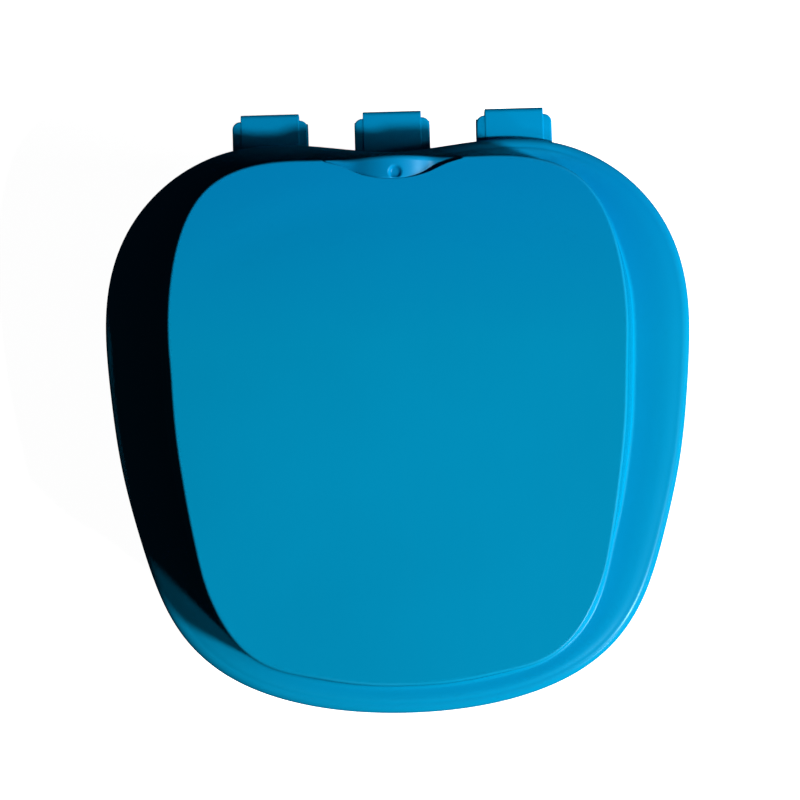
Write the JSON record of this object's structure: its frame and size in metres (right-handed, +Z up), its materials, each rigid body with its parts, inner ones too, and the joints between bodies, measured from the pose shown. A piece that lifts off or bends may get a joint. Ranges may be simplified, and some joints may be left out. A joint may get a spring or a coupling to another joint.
{
  "type": "denture case",
  "caption": "Hinged moulded plastic case for a denture: deep base, domed lid with a flat raised top panel, closed by a skirt over an upstand, opening on pin hinges at the back.",
  "frame": {"origin": "on the resting face of the base, on the case's plane of symmetry, under the point from which the outlines are measured", "axes": "+Z up, +Y towards the hinge at the back, +X to the right seen from the front"},
  "size_m": [0.0884, 0.0915, 0.0405],
  "materials": {
    "blue_plastic": "glossy moulded polypropylene, fine handling scratches"
  },
  "bodies": {
    "base": {"base": "blue_plastic", "hinge_pin_left": "blue_plastic", "hinge_pin_middle": "blue_plastic", "hinge_pin_right": "blue_plastic"},
    "lid": {"lid": "blue_plastic"}
  },
  "joints": [
    {"name": "lid_hinge", "type": "hinge", "parent": "base", "child": "lid", "pos_m": [0, 0.0461, 0.02185], "axis": [-1, 0, 0], "range_deg": [0, 180]}
  ]
}
